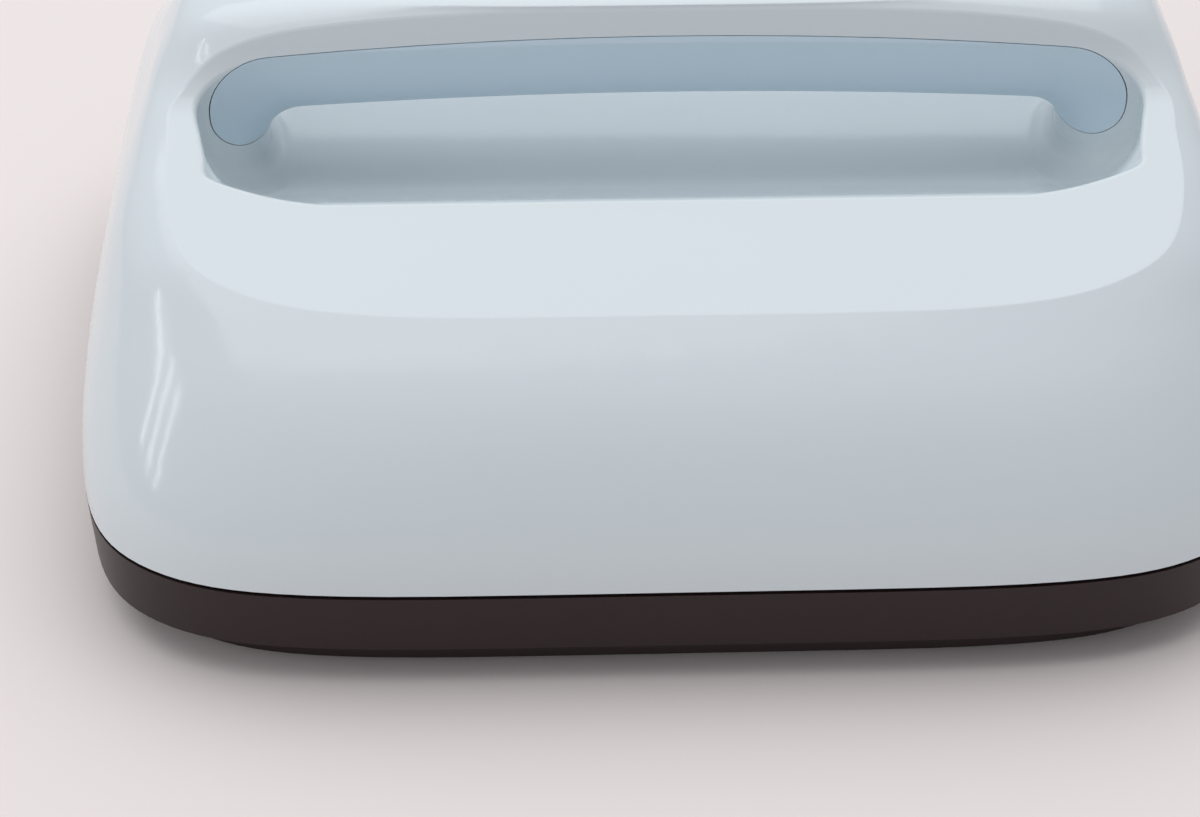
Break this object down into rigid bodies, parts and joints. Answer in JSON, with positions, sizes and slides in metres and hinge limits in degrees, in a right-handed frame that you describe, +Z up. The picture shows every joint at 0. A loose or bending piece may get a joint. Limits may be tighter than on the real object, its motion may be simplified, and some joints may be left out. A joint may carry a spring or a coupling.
{
  "type": "handheld heat press",
  "caption": "Handheld heat press with a loaf-shaped shell, a bridge handle over a finger slot, a dark base skirt, a flat hot plate and push keys on the handle's top.",
  "frame": {"origin": "middle of the hot plate's underside, on the surface that the press stands on", "axes": "+Z up, -Y towards the pictured front, +X to the right along the handle"},
  "size_m": [0.3442, 0.293, 0.1506],
  "materials": {
    "pale_blue_shell": "gloss moulded",
    "pale_blue_grip": "satin moulded",
    "dark_skirt": "fine satin",
    "dark_surround": "fine satin",
    "black_rubber": "matt",
    "coated_plate": "non-stick coated",
    "element_steel": "heat tinted",
    "spring_steel": "pressed",
    "zinc_screws": "zinc plated",
    "standoff_steel": "turned",
    "ceramic_wool": "needled blanket",
    "shield_steel": "rolled sheet",
    "sensor_brass": "plain",
    "cutout_body": "moulded",
    "panel_gloss": "gloss",
    "lens_glass": "polished",
    "display_glass": "flat",
    "green_board": "solder mask",
    "switch_black": "moulded",
    "key_white": "gloss",
    "start_key": "gloss",
    "ring_diffuser": "translucent",
    "lamp_clear": "clear",
    "buzzer_black": "moulded",
    "harness_sleeve": "braided sleeve",
    "plug_white": "moulded",
    "transformer_wrap": "taped",
    "relay_case": "moulded",
    "capacitor_case": "sleeved can",
    "fuse_glass": "clear",
    "heatsink_aluminium": "extruded",
    "block_grey": "moulded",
    "red_lead": "silicone",
    "white_lead": "silicone",
    "gland_black": "moulded"
  },
  "bodies": {
    "press_body": {"upper_shell": "pale_blue_shell", "handle_grip": "pale_blue_grip", "base_skirt": "dark_skirt", "plate_surround": "dark_surround", "seam_gasket": "black_rubber", "heat_plate": "coated_plate", "heating_element": "element_steel", "element_straps": "spring_steel", "plate_screws": "zinc_screws", "shell_screws": "zinc_screws", "surround_screws": "zinc_screws", "power_board_screws": "zinc_screws", "control_board_screws": "zinc_screws", "grip_screws": "zinc_screws", "plate_standoffs": "standoff_steel", "insulation_blanket": "ceramic_wool", "heat_shield": "shield_steel", "thermistor": "sensor_brass", "thermal_cutout": "cutout_body", "control_panel": "panel_gloss", "display_lens": "lens_glass", "display_module": "display_glass", "control_board": "green_board", "power_board": "green_board", "tact_switches": "switch_black", "light_ring": "ring_diffuser", "ring_lamps": "lamp_clear", "buzzer": "buzzer_black", "control_harness": "harness_sleeve", "wire_plugs": "plug_white", "transformer": "transformer_wrap", "relay": "relay_case", "capacitor": "capacitor_case", "fuse": "fuse_glass", "heatsink": "heatsink_aluminium", "terminal_block": "block_grey", "heater_leads": "red_lead", "sensor_lead": "white_lead", "cutout_leads": "white_lead", "cord_gland": "gland_black", "gland_nut": "gland_black"},
    "temperature_key": {"button_temperature": "key_white"},
    "timer_key": {"button_timer": "key_white"},
    "minus_key": {"button_minus": "key_white"},
    "plus_key": {"button_plus": "key_white"},
    "power_key": {"button_power": "key_white"},
    "start_key": {"button_start": "start_key"}
  },
  "joints": [
    {"name": "temperature_press", "type": "slide", "parent": "press_body", "child": "temperature_key", "axis": [0, 0, -1], "range_m": [0, 0.0008], "stiffness_N_per_m": 1500, "springref_m": -0.0006},
    {"name": "timer_press", "type": "slide", "parent": "press_body", "child": "timer_key", "axis": [0, 0, -1], "range_m": [0, 0.0008], "stiffness_N_per_m": 1500, "springref_m": -0.0006},
    {"name": "minus_press", "type": "slide", "parent": "press_body", "child": "minus_key", "axis": [0, 0, -1], "range_m": [0, 0.0008], "stiffness_N_per_m": 1500, "springref_m": -0.0006},
    {"name": "plus_press", "type": "slide", "parent": "press_body", "child": "plus_key", "axis": [0, 0, -1], "range_m": [0, 0.0008], "stiffness_N_per_m": 1500, "springref_m": -0.0006},
    {"name": "power_press", "type": "slide", "parent": "press_body", "child": "power_key", "axis": [0, 0, -1], "range_m": [0, 0.0008], "stiffness_N_per_m": 1500, "springref_m": -0.0006},
    {"name": "start_press", "type": "slide", "parent": "press_body", "child": "start_key", "axis": [0, 0, -1], "range_m": [0, 0.001], "stiffness_N_per_m": 1500, "springref_m": -0.0006}
  ]
}
